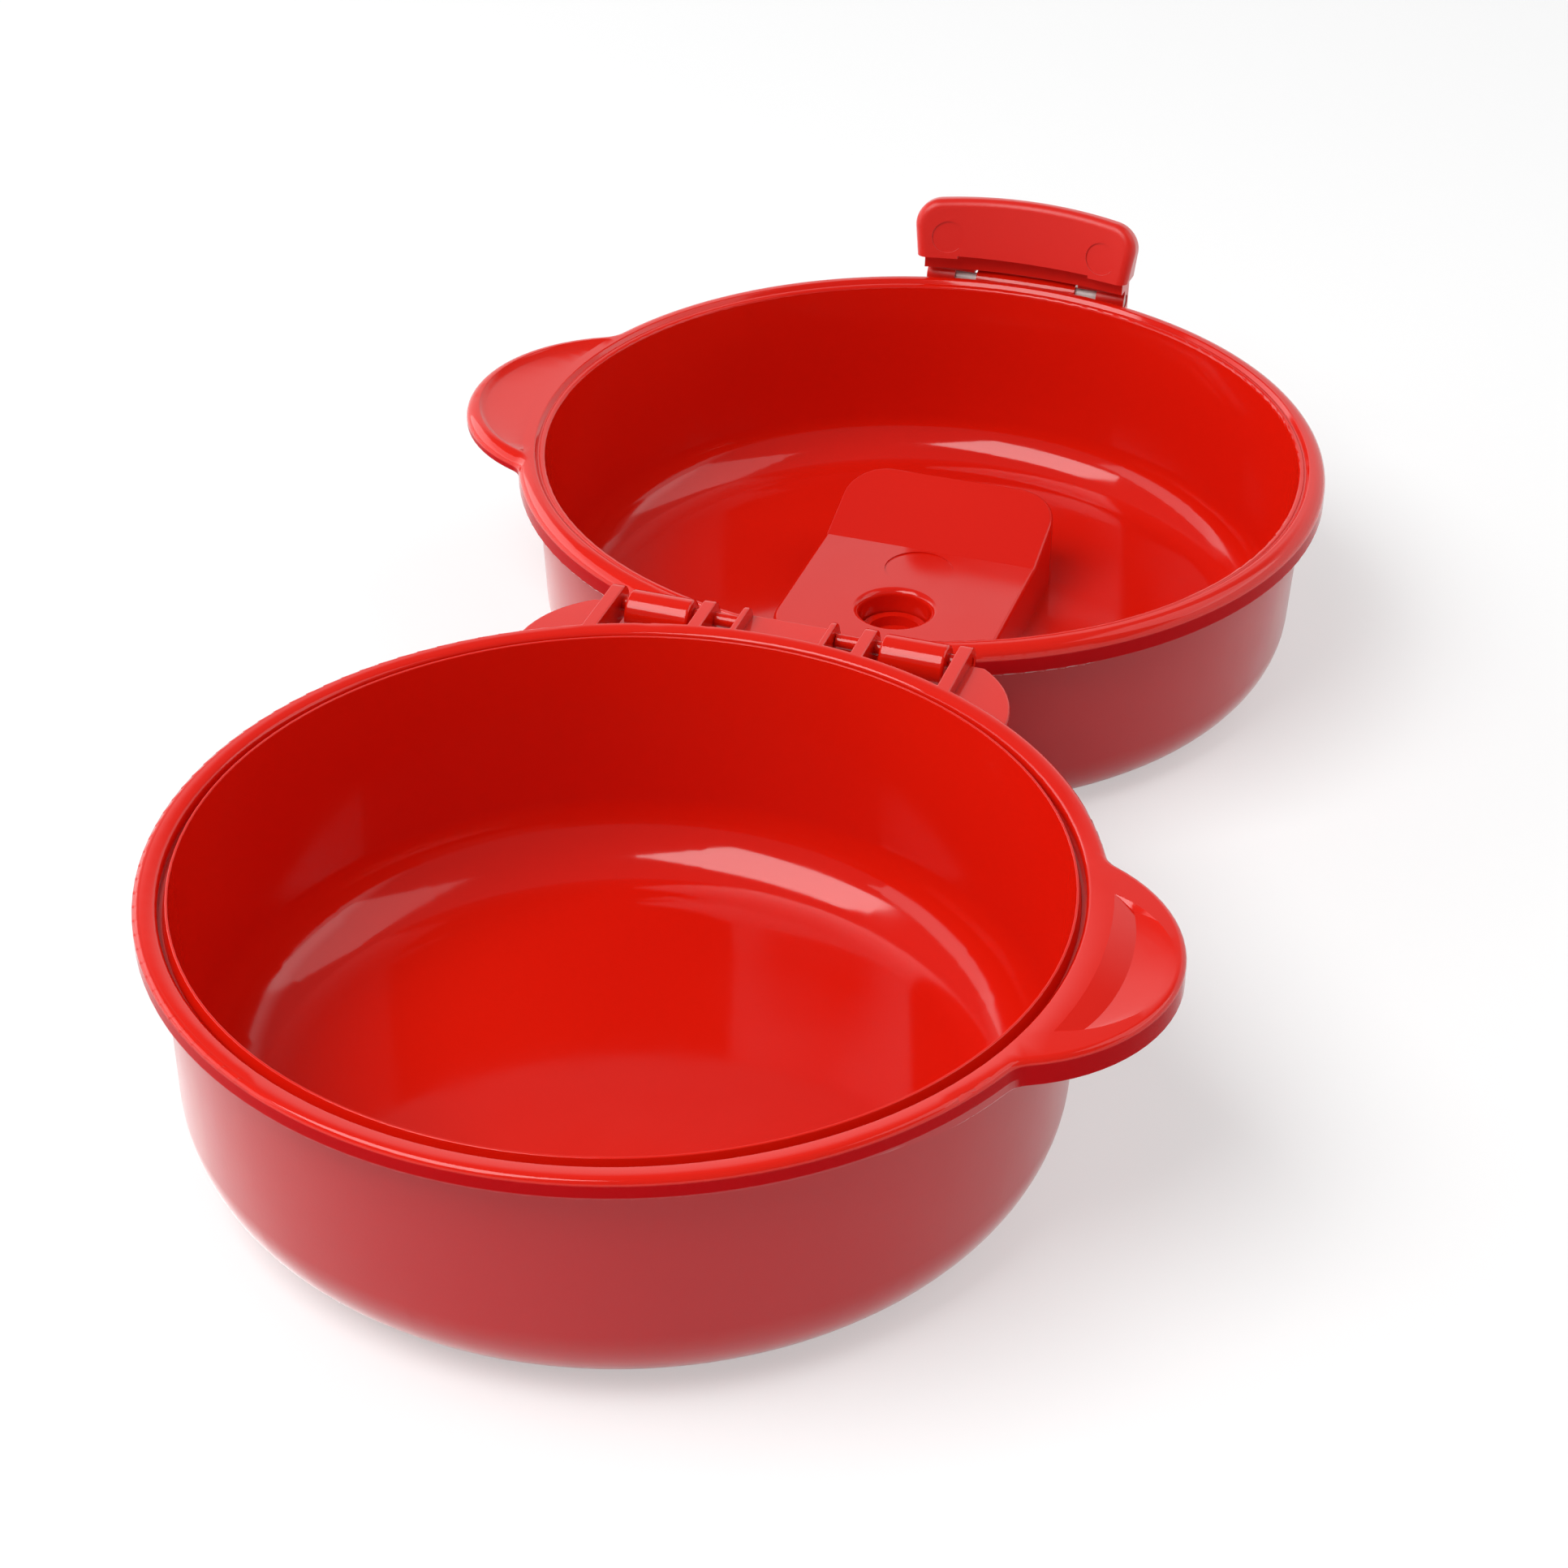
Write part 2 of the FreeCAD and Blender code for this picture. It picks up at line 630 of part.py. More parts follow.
def latch_clip():
    """Snap clip about the lid axis, hooked under the base rim and then swung out to its rest pose."""
    ledge = lid_height + closing_gap + base_rim_depth + hook_gap
    tip = base_rim_radius - hook_bite
    top_inner = tip + panel_lean
    back = latch_pin_reach + latch_back
    neck_inner = base_rim_radius + latch_neck_gap
    neck_bottom = latch_pin_height + knuckle_radius + knuckle_gap

    panel = panel_layer(tip, back, top_inner + panel_top_thickness, ledge).common(panel_outline(ledge))
    panel = rounded_panel(panel, ledge)
    notch = slab(-hook_notch_half, hook_notch_half, 0, back, ledge - overrun, ledge + hook_notch_depth)
    panel = panel.cut(notch.common(Part.makeCylinder(neck_inner, ledge + overrun)))

    neck = turned([
        (neck_inner, neck_bottom, 0),
        (back, neck_bottom, 0),
        (back, ledge, 0),
        (neck_inner, ledge, 0),
    ])
    neck = neck.common(slab(-latch_neck_half, latch_neck_half, 0, back, neck_bottom, ledge))
    clip = panel.fuse(neck)

    pin_y = latch_pin_reach
    pin_z = latch_pin_height
    bottom = pin_z - knuckle_radius
    start = latch_knuckle_start
    web_start = pin_y - latch_knuckle_web
    web_end = pin_y + knuckle_radius
    knuckle = rod(knuckle_radius, start, latch_neck_half, pin_y, pin_z)
    knuckle = knuckle.fuse(slab(start, latch_neck_half, pin_y, web_end, bottom, pin_z))
    knuckle = knuckle.fuse(slab(start, latch_neck_half, web_start, web_end, pin_z, ledge))
    window_top = pin_z + latch_pin_radius + window_gap
    window_side = lid_knuckle_half + knuckle_gap
    knuckle = knuckle.fuse(slab(window_side, start, web_start, web_end, window_top, ledge))
    clip = clip.fuse(both_sides(knuckle))
    clip = clip.cut(rod(latch_pin_radius + running_gap, -latch_neck_half, latch_neck_half, pin_y, pin_z))

    mark_place = V(panel_root_half - panel_mark_inset, 0, ledge + panel_mark_rise)
    mark = Part.makeCylinder(panel_mark_radius, back, mark_place, V(0, 1, 0))
    mark = mark.common(panel_layer(tip - overrun, tip + mark_depth, top_inner + mark_depth, ledge))
    clip = clip.cut(both_sides(mark)).removeSplitter()
    clip.rotate(V(0, pin_y, pin_z), rightward, -latch_lean)
    return clip


def latch_pin():
    half = latch_neck_half - latch_pin_end_gap
    return rod(latch_pin_radius, -half, half, latch_pin_reach, latch_pin_height)


def behind(shape):
    """Moves a piece of the lid from its own axis to its place behind the base."""
    shape.translate(V(0, lid_axis, 0))
    return shape


right_pin = hinge_pin()
pieces = {
    "base_bowl": base_bowl(),
    "left_hinge_pin": mirrored(right_pin),
    "right_hinge_pin": right_pin,
    "lid_bowl": behind(lid_bowl()),
    "latch_pin": behind(latch_pin()),
    "latch_clip": behind(latch_clip()),
    "vent_flap": behind(vent_flap()),
}
for name, shape in pieces.items():
    box = shape.BoundBox
    spans = [round(value, 2) for value in (box.XMin, box.XMax, box.YMin, box.YMax, box.ZMin, box.ZMax)]
    print(name, len(shape.Solids), "solid, valid", shape.isValid(), "box", spans, round(shape.Volume))
    shape.exportStep("parts/" + name + ".step")
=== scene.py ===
import json
import math
from collections import namedtuple

import bpy
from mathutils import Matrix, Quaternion, Vector

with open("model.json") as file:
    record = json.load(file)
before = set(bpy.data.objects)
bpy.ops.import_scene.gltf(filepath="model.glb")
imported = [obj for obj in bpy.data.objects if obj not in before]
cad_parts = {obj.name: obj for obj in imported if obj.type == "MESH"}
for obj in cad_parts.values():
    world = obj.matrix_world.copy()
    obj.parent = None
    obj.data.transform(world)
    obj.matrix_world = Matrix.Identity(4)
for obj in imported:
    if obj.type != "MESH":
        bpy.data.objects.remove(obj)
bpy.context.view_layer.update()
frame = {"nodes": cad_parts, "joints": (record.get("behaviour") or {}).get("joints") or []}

# Lengths and places are in metres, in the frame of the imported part: the base bowl stands at the origin, and
# the opened lid lies as far behind the hinge as the base is in front of it.
HINGE_PLACE = next(joint for joint in frame["joints"] if joint["name"] == "lid_hinge")["pos_m"]
LID_AXIS_Y = 2 * HINGE_PLACE[1]

# A bowl's upright axis, the height where its wall meets the rim, and the rim's radius, top and rounded edge.
# The rim is turned except near ear, hinge and clip: directions from the axis, and how far it goes there.
BowlForm = namedtuple("BowlForm", "axis_y wall_top rim_radius rim_top rim_edge rim_ends")
BASE_FORM = BowlForm(
    axis_y=0.0,
    wall_top=0.0335,
    rim_radius=0.058,
    rim_top=0.0362,
    rim_edge=0.0008,
    rim_ends=(((1, 0, 0), 0.045), ((0, 1, 0), 0.045)),
)
LID_FORM = BowlForm(
    axis_y=LID_AXIS_Y,
    wall_top=0.02695,
    rim_radius=0.0596,
    rim_top=0.03115,
    rim_edge=0.0018,
    rim_ends=(((-1, 0, 0), 0.045), ((0, -1, 0), 0.045), ((0, 1, 0), 0.054)),
)

# A bowl's outside is what points outwards beyond the inside radius, or down, and is clear of the hinge. The
# cosine is that of the widest angle to outwards or down. Each fade is the width of a change.
INSIDE_RADIUS = 0.034
INSIDE_FADE = 0.002
OUTSIDE_COSINE = 0.3
OUTSIDE_FADE = 0.3
HINGE_ROOM = 0.005
HINGE_FADE = 0.0005

# Finishes of the outside: the rim's side starts at an inset from the rim's radius, the satin wall ends at an
# inset below the rim, and a satin line runs along the rim's lower edge, short of the ear.
SIDE_INSET = 0.0015
SIDE_FADE = 0.001
WALL_INSET = 0.0004
WALL_FADE = 0.0003
LINE_HEIGHT = 0.00035
TOP_FADE = 0.0002
EAR_FADE = 0.0003
FINE_FADE = 0.0001

# Exact normals of the rims: the height of the rounded lower edge, how far they reach on to the rim's top, the
# width of their change at the rim's ends and the least length that keeps a normal from vanishing.
LOW_EDGE = 0.0003
LAND_REACH = 0.0002
RIM_END_FADE = 0.001
LEAST_LENGTH = 0.000002

# Distance under which points of neighbouring faces are one, and the least angle of a sharp edge in degrees.
# Creases are sharp from a smaller angle: one across the vent housing, at a place behind the lid's axis and a
# height, and those of the thumb dish, from the base's rim to a reach from the middle of the ear.
MERGE_DISTANCE = 0.000002
SHARP_ANGLE = 50.0
CREASE_ANGLE = 5.0
CREASE_BEHIND_AXIS = 0.0069
CREASE_HEIGHT = 0.0093
CREASE_SLACK = 0.0003
DISH_START = 0.0581
EAR_MIDDLE = 0.0455
DISH_REACH = 0.0208

# Colours are linear red, green, blue.
RED_DEEP = (0.58, 0.006, 0.002, 1)
RED_BRIGHT = (0.68, 0.012, 0.003, 1)
# The darker reds of the bowls' outward faces and rims' sides are painted shade, with tone that differs at
# random between them.
SHADED_RED_DEEP = (0.37, 0.002, 0.004, 1)
SHADED_RED_BRIGHT = (0.46, 0.003, 0.005, 1)
PIN_PALE = (0.72, 0.68, 0.66, 1)
PIN_SHADE = (0.55, 0.50, 0.48, 1)
FLOOR_WHITE = (0.93, 0.93, 0.93, 1)
FLOOR_PALE = (0.95, 0.95, 0.95, 1)
PURE_WHITE = (1, 1, 1, 1)

# Roughness, grain strength and specular level of the polished faces, with the lower level of the rims' sides,
# and roughness, grain strength and sheen of the satin ones.
GLOSS_ROUGHNESS = 0.09
GLOSS_GRAIN = 0.02
GLOSS_LEVEL = 0.42
RIM_SIDE_LEVEL = 0.03
SATIN_ROUGHNESS = 0.36
SATIN_GRAIN = 0.12
SATIN_SHEEN = 1.0
SATIN_SHEEN_ROUGHNESS = 0.3
PLASTIC_IOR = 1.49

# Noise in the surfaces: the size of its patches and the detail in them.
Noise = namedtuple("Noise", "size detail")
RED_PATCHES = Noise(0.06, 2.0)
RED_WEAR = Noise(0.009, 4.0)
RED_SINK = Noise(0.022, 1.0)
RED_GRAIN = Noise(0.00045, 2.0)
PIN_PATCHES = Noise(0.0012, 3.0)
PIN_WEAR = Noise(0.0008, 2.0)
PIN_GRAIN = Noise(0.0003, 2.0)
FLOOR_PATCHES = Noise(0.3, 2.0)

# What the noise does: the stretch of its values that counts, with the roughness that it adds to the red
# plastic or gives the pale pin, and the depths and strengths of the bumps.
RED_WEAR_STRETCH = (0.35, 0.65)
RED_WEAR_ADDED = (-0.02, 0.03)
RED_SINK_DEPTH = 0.00025
RED_SINK_STRENGTH = 0.12
RED_GRAIN_DEPTH = 0.00003
PIN_WEAR_STRETCH = (0.3, 0.7)
PIN_ROUGHNESS = (0.22, 0.38)
PIN_GRAIN_DEPTH = 0.00002
PIN_GRAIN_STRENGTH = 0.15

# Table: its size and place, just below the object, its roughness and the share of white glow when it is seen.
FLOOR_SIZE = 6
FLOOR_PLACE = (0, 0.06, -0.0002)
FLOOR_ROUGHNESS = 0.6
FLOOR_GLOW = 0.45

# The room is white near the horizon and dimmer above. The sines of the elevations where the white ends
# are given in front of the object and behind it, with the width of the change.
ROOM_DIM = 0.22
WHITE_END_FRONT = 0.10
WHITE_END_BACK = 0.50
WHITE_FADE = 0.12
BACK_FADE = 0.3

# Soft boxes, with their power in watts, and the place below the middle of the hinge that they are aimed at.
SoftBox = namedtuple("SoftBox", "name place width height power")
SOFT_BOXES = (
    SoftBox("key_box", (-0.34, -0.38, 0.86), 0.8, 0.6, 9.5),
    SoftBox("left_box", (-0.95, 0.06, 0.36), 1.4, 0.6, 4.0),
    SoftBox("right_box", (0.72, 0.42, 0.80), 0.8, 0.8, 2.5),
)
LIGHT_AIM = Vector((0, HINGE_PLACE[1], 0.02))

# Camera, as found from the photographed rims: its place, its aim in degrees and its lens in millimetres.
CAMERA_PLACE = Vector((0.1247, -0.3217, 0.2744))
CAMERA_AZIMUTH = 18.04
CAMERA_ELEVATION = 33.25
CAMERA_ROLL = 0.645
CAMERA_LENS = 80.71
SENSOR_WIDTH = 36.0
CLIP_START = 0.01
CLIP_END = 20


class NodeTree:
    """A tree of nodes under construction, with short calls for the plain ones."""

    def __init__(self, tree):
        self.nodes = tree.nodes
        self.links = tree.links

    def join(self, value, socket):
        """Links a socket, or sets a plain value."""
        if isinstance(value, bpy.types.NodeSocket):
            self.links.new(value, socket)
        else:
            socket.default_value = value

    def math(self, operation, first, second):
        node = self.nodes.new("ShaderNodeMath")
        node.operation = operation
        self.join(first, node.inputs[0])
        self.join(second, node.inputs[1])
        return node.outputs["Value"]

    def spread(self, value, low, high, to_low, to_high):
        """Maps low..high to to_low..to_high, held at the ends."""
        node = self.nodes.new("ShaderNodeMapRange")
        self.join(value, node.inputs["Value"])
        for socket, number in zip(("From Min", "From Max", "To Min", "To Max"), (low, high, to_low, to_high)):
            self.join(number, node.inputs[socket])
        return node.outputs["Result"]


class Shader(NodeTree):
    """A material under construction."""

    def __init__(self, name):
        self.material = bpy.data.materials.new(name)
        self.material.use_nodes = True
        super().__init__(self.material.node_tree)
        self.surface = self.nodes["Principled BSDF"]
        self.coordinates = self.nodes.new("ShaderNodeTexCoord")

    def noise(self, settings):
        node = self.nodes.new("ShaderNodeTexNoise")
        node.inputs["Scale"].default_value = 1 / settings.size
        node.inputs["Detail"].default_value = settings.detail
        self.links.new(self.coordinates.outputs["Object"], node.inputs["Vector"])
        return node.outputs["Fac"]

    def vector(self, operation, *values):
        node = self.nodes.new("ShaderNodeVectorMath")
        node.operation = operation
        for value, socket in zip(values, node.inputs):
            self.join(value, socket)
        return node.outputs["Value" if operation in ("DOT_PRODUCT", "LENGTH") else "Vector"]

    def to_world(self, normal):
        """Unit normal in the world's directions, from a vector in the object's."""
        node = self.nodes.new("ShaderNodeVectorTransform")
        node.vector_type = "NORMAL"
        node.convert_from = "OBJECT"
        node.convert_to = "WORLD"
        self.links.new(normal, node.inputs["Vector"])
        return self.vector("NORMALIZE", node.outputs["Vector"])

    def rise(self, value, start, width):
        """Share that is 0 up to start and 1 from start plus width."""
        return self.spread(value, start, start + width, 0.0, 1.0)

    def fall(self, value, start, width):
        """Share that is 1 up to start and 0 from start plus width."""
        return self.spread(value, start, start + width, 1.0, 0.0)

    def between(self, share, first, second):
        """Number that goes from first to second as share goes from 0 to 1."""
        return self.spread(share, 0.0, 1.0, first, second)

    def blend(self, share, first, second):
        """Colour that goes from first to second as share goes from 0 to 1."""
        node = self.nodes.new("ShaderNodeMix")
        node.data_type = "RGBA"
        self.join(share, node.inputs["Factor"])
        self.join(first, node.inputs["A"])
        self.join(second, node.inputs["B"])
        return node.outputs["Result"]

    def bump(self, height, distance, strength, below=None):
        """Normal from a height field, on top of another normal if one is given."""
        node = self.nodes.new("ShaderNodeBump")
        node.inputs["Distance"].default_value = distance
        self.join(strength, node.inputs["Strength"])
        self.join(height, node.inputs["Height"])
        if below is not None:
            self.links.new(below, node.inputs["Normal"])
        return node.outputs["Normal"]

    def set(self, **values):
        """Sets or links the shader's own sockets, with _ for a space in their names."""
        for name, value in values.items():
            self.join(value, self.surface.inputs[name.replace("_", " ")])


class Bowl:
    """The places on a bowl about an upright axis that its material needs."""

    def __init__(self, shader, form):
        self.shader = shader
        self.form = form
        self.place = shader.coordinates.outputs["Object"]
        self.from_axis = shader.vector("SUBTRACT", self.place, (0, form.axis_y, 0))
        level = shader.vector("MULTIPLY", self.from_axis, (1, 1, 0))
        self.outward = shader.vector("NORMALIZE", level)
        self.radius = shader.vector("LENGTH", level)
        self.height = shader.vector("DOT_PRODUCT", self.from_axis, (0, 0, 1))

    def outside(self):
        """Share that is 1 on faces that point outwards or down, clear of the hinge."""
        shader = self.shader
        normal = shader.coordinates.outputs["Normal"]
        facing_out = shader.vector("DOT_PRODUCT", self.outward, normal)
        past_inside = shader.rise(self.radius, INSIDE_RADIUS, INSIDE_FADE)
        facing_out = shader.math("MULTIPLY", facing_out, past_inside)
        facing_down = shader.vector("DOT_PRODUCT", normal, (0, 0, -1))
        facing = shader.math("MAXIMUM", facing_out, facing_down)
        from_hinge = shader.vector("SUBTRACT", self.place, (0, *HINGE_PLACE[1:]))
        from_hinge = shader.vector("LENGTH", shader.vector("MULTIPLY", from_hinge, (0, 1, 1)))
        clear_of_hinge = shader.rise(from_hinge, HINGE_ROOM, HINGE_FADE)
        return shader.math("MULTIPLY", shader.rise(facing, OUTSIDE_COSINE, OUTSIDE_FADE), clear_of_hinge)

    def finish_shares(self):
        """Shares that are 1 on the satin wall, underside and rim line, and on the rim's side; both get a
        darker red as painted shade.
        """
        shader = self.shader
        form = self.form
        outside = self.outside()
        at_edge = shader.rise(self.radius, form.rim_radius - SIDE_INSET, SIDE_FADE)
        below_rim = shader.fall(self.height, form.wall_top - WALL_INSET, WALL_FADE)
        below_rim = shader.math("MULTIPLY", below_rim, shader.math("SUBTRACT", 1.0, at_edge))
        on_line = shader.fall(self.height, form.wall_top + LINE_HEIGHT, FINE_FADE)
        on_line = shader.math("MULTIPLY", on_line, at_edge)
        short_of_ear = shader.fall(self.radius, form.rim_radius + FINE_FADE, EAR_FADE)
        on_line = shader.math("MULTIPLY", on_line, short_of_ear)
        below_top = shader.fall(self.height, form.rim_top - form.rim_edge, TOP_FADE)
        on_side = shader.math("SUBTRACT", shader.math("MULTIPLY", below_top, at_edge), on_line)
        satin = shader.math("MAXIMUM", below_rim, on_line)
        return shader.math("MULTIPLY", outside, satin), shader.math("MULTIPLY", outside, on_side)

    def turned_share(self, reach):
        """Share that is 1 on the turned part of the rim, for a reach past the middle of its rounded edge."""
        shader = self.shader
        wall_top = self.form.wall_top
        share = shader.rise(reach, -LAND_REACH, FINE_FADE)
        share = shader.math("MULTIPLY", share, shader.rise(self.height, wall_top - FINE_FADE, FINE_FADE))
        for direction, end in self.form.rim_ends:
            along = shader.vector("DOT_PRODUCT", self.from_axis, direction)
            share = shader.math("MULTIPLY", share, shader.fall(along, end, RIM_END_FADE))
        return share

    def rim_normal(self):
        """World normal that is exact on the turned part of the rim and the mesh's own elsewhere."""
        shader = self.shader
        form = self.form
        reach = shader.math("SUBTRACT", self.radius, form.rim_radius - form.rim_edge)
        sideways = shader.vector("MULTIPLY", self.outward, shader.math("MAXIMUM", reach, LEAST_LENGTH))
        up = shader.math("SUBTRACT", self.height, form.rim_top - form.rim_edge)
        up = shader.math("MAXIMUM", up, LEAST_LENGTH)
        down = shader.math("SUBTRACT", form.wall_top + LOW_EDGE, self.height)
        down = shader.math("MAXIMUM", down, 0.0)
        upright = shader.vector("MULTIPLY", (0, 0, 1), shader.math("SUBTRACT", up, down))
        exact = shader.to_world(shader.vector("ADD", sideways, upright))
        share = self.turned_share(reach)
        plain = shader.nodes.new("ShaderNodeNewGeometry").outputs["Normal"]
        plain = shader.vector("MULTIPLY", plain, shader.math("SUBTRACT", 1.0, share))
        exact = shader.vector("MULTIPLY", exact, share)
        return shader.vector("NORMALIZE", shader.vector("ADD", plain, exact))


def red_plastic(name, polish, grain, sheen=0.0, form=None):
    """Moulded red plastic. A bowl, whose form is given, is satin outside, and its outside and rim's side get
    a darker red as painted shade.
    """
    shader = Shader(name)
    patches = shader.noise(RED_PATCHES)
    colour = shader.blend(patches, RED_DEEP, RED_BRIGHT)
    level = GLOSS_LEVEL
    normal = None
    if form is not None:
        bowl = Bowl(shader, form)
        satin, rim_side = bowl.finish_shares()
        polish = shader.between(satin, polish, SATIN_ROUGHNESS)
        grain = shader.between(satin, grain, SATIN_GRAIN)
        sheen = shader.between(satin, sheen, SATIN_SHEEN)
        level = shader.between(rim_side, level, RIM_SIDE_LEVEL)
        # The outward faces and rims' sides get the darker red: painted shade.
        outside = shader.math("ADD", satin, rim_side)
        colour = shader.blend(outside, colour, shader.blend(patches, SHADED_RED_DEEP, SHADED_RED_BRIGHT))
        normal = bowl.rim_normal()
    shader.set(Base_Color=colour)
    shader.set(Sheen_Weight=sheen, Sheen_Roughness=SATIN_SHEEN_ROUGHNESS)
    wear = shader.spread(shader.noise(RED_WEAR), *RED_WEAR_STRETCH, *RED_WEAR_ADDED)
    shader.set(Roughness=shader.math("ADD", polish, wear))
    sink = shader.bump(shader.noise(RED_SINK), RED_SINK_DEPTH, RED_SINK_STRENGTH, normal)
    shader.set(Normal=shader.bump(shader.noise(RED_GRAIN), RED_GRAIN_DEPTH, grain, sink))
    shader.set(IOR=PLASTIC_IOR, Specular_IOR_Level=level)
    return shader.material


def pale_plastic(name):
    """Plain pale rod stock with a faint grain."""
    shader = Shader(name)
    shader.set(Base_Color=shader.blend(shader.noise(PIN_PATCHES), PIN_PALE, PIN_SHADE))
    shader.set(Roughness=shader.spread(shader.noise(PIN_WEAR), *PIN_WEAR_STRETCH, *PIN_ROUGHNESS))
    shader.set(Normal=shader.bump(shader.noise(PIN_GRAIN), PIN_GRAIN_DEPTH, PIN_GRAIN_STRENGTH))
    return shader.material


def paint(material, *nodes):
    """Gives the nodes a material in place of their own."""
    for node in nodes:
        slots = frame["nodes"][node].data.materials
        slots.clear()
        slots.append(material)


class EdgeTree(NodeTree):
    """Geometry nodes that tell soft edges from sharp ones."""

    def __init__(self, tree):
        super().__init__(tree)
        self.place = self.nodes.new("ShaderNodeSeparateXYZ")
        position = self.nodes.new("GeometryNodeInputPosition")
        self.links.new(position.outputs["Position"], self.place.inputs["Vector"])

    def compare(self, value, operation, limit, slack=None):
        node = self.nodes.new("FunctionNodeCompare")
        node.data_type = "FLOAT"
        node.operation = operation
        self.join(value, node.inputs["A"])
        self.join(limit, node.inputs["B"])
        if slack is not None:
            node.inputs["Epsilon"].default_value = slack
        return node.outputs["Result"]

    def combine(self, operation, first, second):
        node = self.nodes.new("FunctionNodeBooleanMath")
        node.operation = operation
        self.links.new(first, node.inputs[0])
        self.links.new(second, node.inputs[1])
        return node.outputs["Boolean"]

    def level_distance(self, x, y):
        """Distance from the upright line through x and y."""
        flat = self.nodes.new("ShaderNodeCombineXYZ")
        for axis in "XY":
            self.links.new(self.place.outputs[axis], flat.inputs[axis])
        node = self.nodes.new("ShaderNodeVectorMath")
        node.operation = "DISTANCE"
        self.links.new(flat.outputs["Vector"], node.inputs[0])
        node.inputs[1].default_value = (x, y, 0)
        return node.outputs["Value"]

    def on_crease(self):
        """True at the crease across the vent housing and in the thumb dish."""
        crease_y = LID_AXIS_Y + CREASE_BEHIND_AXIS
        at_place = self.compare(self.place.outputs["Y"], "EQUAL", crease_y, CREASE_SLACK)
        at_height = self.compare(self.place.outputs["Z"], "EQUAL", CREASE_HEIGHT, CREASE_SLACK)
        past_rim = self.compare(self.level_distance(0, 0), "GREATER_THAN", DISH_START)
        inside_ear = self.compare(self.level_distance(EAR_MIDDLE, 0), "LESS_THAN", DISH_REACH)
        above_wall = self.compare(self.place.outputs["Z"], "GREATER_THAN", BASE_FORM.wall_top)
        in_dish = self.combine("AND", self.combine("AND", past_rim, inside_ear), above_wall)
        return self.combine("OR", self.combine("AND", at_place, at_height), in_dish)

    def soft_edges(self):
        """True on edges whose faces meet at less than the limit at their place."""
        limit = self.nodes.new("GeometryNodeSwitch")
        limit.input_type = "FLOAT"
        limit.inputs["False"].default_value = math.radians(SHARP_ANGLE)
        limit.inputs["True"].default_value = math.radians(CREASE_ANGLE)
        self.links.new(self.on_crease(), limit.inputs["Switch"])
        angle = self.nodes.new("GeometryNodeInputMeshEdgeAngle")
        return self.compare(angle.outputs["Unsigned Angle"], "LESS_THAN", limit.outputs["Output"])


def joined_borders():
    """Geometry nodes that join the borders of neighbouring faces and keep only real edges sharp."""
    group = bpy.data.node_groups.new("joined_borders", "GeometryNodeTree")
    for side in ("INPUT", "OUTPUT"):
        group.interface.new_socket("Geometry", in_out=side, socket_type="NodeSocketGeometry")
    tree = EdgeTree(group)
    start = tree.nodes.new("NodeGroupInput")
    merge = tree.nodes.new("GeometryNodeMergeByDistance")
    merge.inputs["Distance"].default_value = MERGE_DISTANCE
    faces = tree.nodes.new("GeometryNodeSetShadeSmooth")
    faces.domain = "FACE"
    edges = tree.nodes.new("GeometryNodeSetShadeSmooth")
    edges.domain = "EDGE"
    tree.links.new(tree.soft_edges(), edges.inputs["Shade Smooth"])
    end = tree.nodes.new("NodeGroupOutput")
    for first, second in ((start, merge), (merge, faces), (faces, edges), (edges, end)):
        tree.links.new(first.outputs["Geometry"], second.inputs["Geometry"])
    return group


def even_shading(*nodes):
    """Shades rounded edges evenly, with normals weighted by the areas and corner angles of the faces."""
    group = joined_borders()
    for node in nodes:
        modifiers = frame["nodes"][node].modifiers
        modifiers.new("joined_borders", "NODES").node_group = group
        weighted = modifiers.new("even_shading", "WEIGHTED_NORMAL")
        weighted.mode = "FACE_AREA_WITH_ANGLE"
        weighted.keep_sharp = True


def white_floor():
    """Pale table that keeps the soft shadow, and looks white to the camera and in reflections."""
    bpy.ops.mesh.primitive_plane_add(size=FLOOR_SIZE, location=FLOOR_PLACE)
    floor = bpy.context.object
    floor.name = "floor"
    shader = Shader("white_table")
    shader.set(Base_Color=shader.blend(shader.noise(FLOOR_PATCHES), FLOOR_WHITE, FLOOR_PALE))
    shader.set(Roughness=FLOOR_ROUGHNESS)
    glow = shader.nodes.new("ShaderNodeEmission")
    glow.inputs["Color"].default_value = PURE_WHITE
    path = shader.nodes.new("ShaderNodeLightPath")
    seen = shader.math("MAXIMUM", path.outputs["Is Camera Ray"], path.outputs["Is Glossy Ray"])
    seen = shader.math("MAXIMUM", seen, path.outputs["Is Transmission Ray"])
    mix = shader.nodes.new("ShaderNodeMixShader")
    shader.links.new(shader.math("MULTIPLY", seen, FLOOR_GLOW), mix.inputs["Fac"])
    shader.links.new(shader.surface.outputs["BSDF"], mix.inputs[1])
    shader.links.new(glow.outputs["Emission"], mix.inputs[2])
    shader.links.new(mix.outputs["Shader"], shader.nodes["Material Output"].inputs["Surface"])
    floor.data.materials.append(shader.material)


def studio_room():
    """World light by direction: white round the horizon and well up behind the object, dimmer above."""
    world = bpy.data.worlds.new("studio_room")
    bpy.context.scene.world = world
    world.use_nodes = True
    tree = NodeTree(world.node_tree)
    direction = tree.nodes.new("ShaderNodeSeparateXYZ")
    tree.links.new(tree.nodes.new("ShaderNodeTexCoord").outputs["Generated"], direction.inputs["Vector"])
    white_end = tree.spread(direction.outputs["Y"], -BACK_FADE, BACK_FADE, WHITE_END_FRONT, WHITE_END_BACK)
    above = tree.math("SUBTRACT", direction.outputs["Z"], white_end)
    background = tree.nodes["Background"]
    background.inputs["Color"].default_value = PURE_WHITE
    tree.links.new(tree.spread(above, 0.0, WHITE_FADE, 1.0, ROOM_DIM), background.inputs["Strength"])


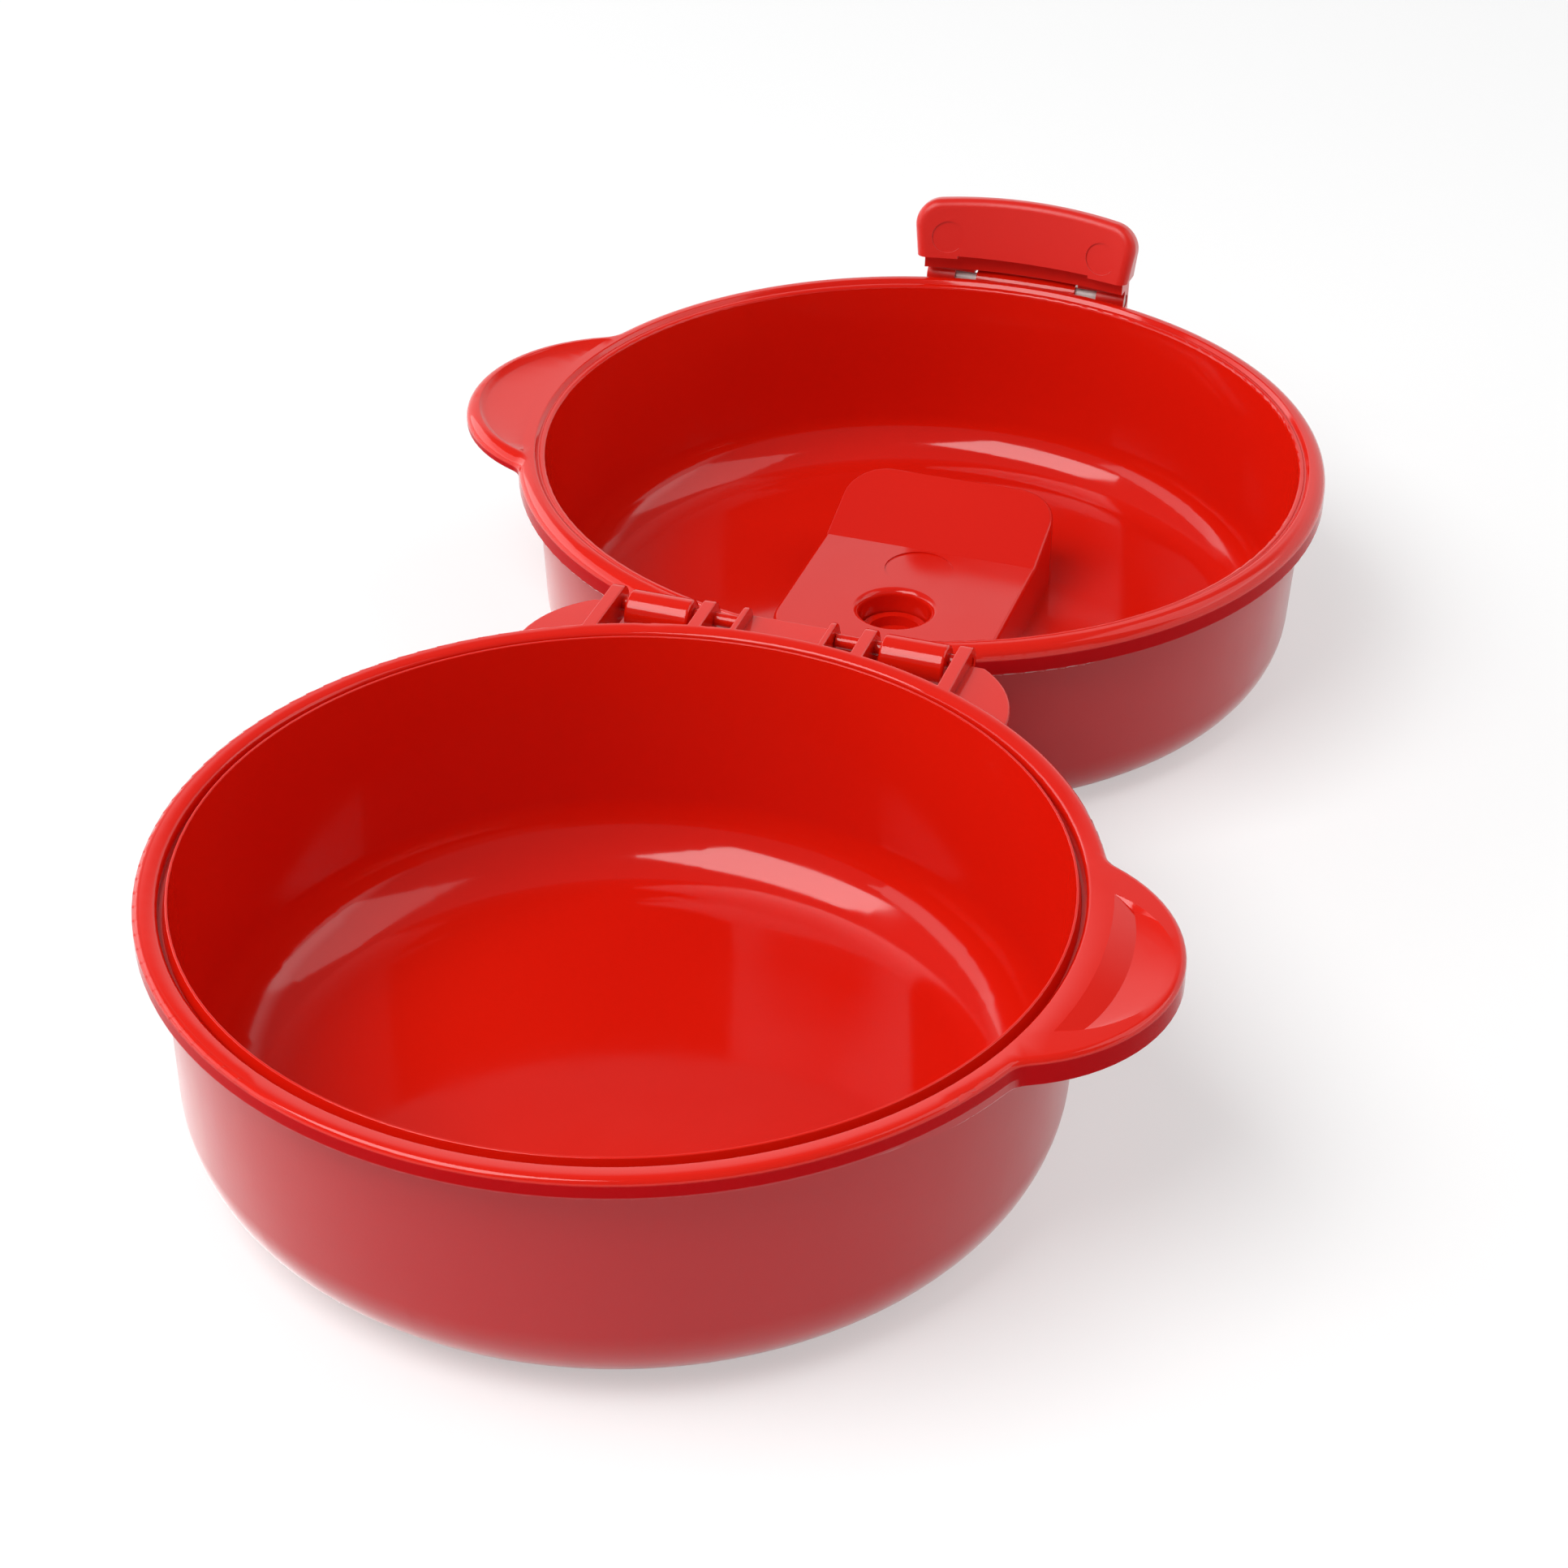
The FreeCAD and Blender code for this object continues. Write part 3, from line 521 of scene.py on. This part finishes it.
def soft_box(box):
    light = bpy.data.lights.new(box.name, "AREA")
    light.shape = "RECTANGLE"
    light.size = box.width
    light.size_y = box.height
    light.energy = box.power
    lamp = bpy.data.objects.new(box.name, light)
    bpy.context.scene.collection.objects.link(lamp)
    lamp.location = box.place
    lamp.rotation_mode = "QUATERNION"
    lamp.rotation_quaternion = (LIGHT_AIM - Vector(box.place)).to_track_quat("-Z", "Y")


def photo_camera():
    """Camera that stands where the photo was taken."""
    data = bpy.data.cameras.new("photo_camera")
    data.sensor_width = SENSOR_WIDTH
    data.lens = CAMERA_LENS
    data.clip_start = CLIP_START
    data.clip_end = CLIP_END
    camera = bpy.data.objects.new("photo_camera", data)
    bpy.context.scene.collection.objects.link(camera)
    azimuth = math.radians(CAMERA_AZIMUTH)
    elevation = math.radians(CAMERA_ELEVATION)
    level = math.cos(elevation)
    ahead = Vector((-math.sin(azimuth) * level, math.cos(azimuth) * level, -math.sin(elevation)))
    camera.location = CAMERA_PLACE
    camera.rotation_mode = "QUATERNION"
    roll = Quaternion((0, 0, 1), math.radians(CAMERA_ROLL))
    camera.rotation_quaternion = ahead.to_track_quat("-Z", "Y") @ roll
    bpy.context.scene.camera = camera


red_base = red_plastic("red_plastic_base", GLOSS_ROUGHNESS, GLOSS_GRAIN, form=BASE_FORM)
red_lid = red_plastic("red_plastic_lid", GLOSS_ROUGHNESS, GLOSS_GRAIN, form=LID_FORM)
red_gloss = red_plastic("red_plastic_pin", GLOSS_ROUGHNESS, GLOSS_GRAIN)
red_satin = red_plastic("red_plastic_clip", SATIN_ROUGHNESS, SATIN_GRAIN, sheen=SATIN_SHEEN)
paint(red_base, "base_bowl")
paint(red_lid, "lid_bowl")
paint(red_gloss, "left_hinge_pin", "right_hinge_pin", "vent_flap")
paint(red_satin, "latch_clip")
paint(pale_plastic("pale_plastic_pin"), "latch_pin")
even_shading("base_bowl", "lid_bowl", "latch_clip")

white_floor()
studio_room()
for box in SOFT_BOXES:
    soft_box(box)
photo_camera()
bpy.context.scene.view_settings.view_transform = "Standard"
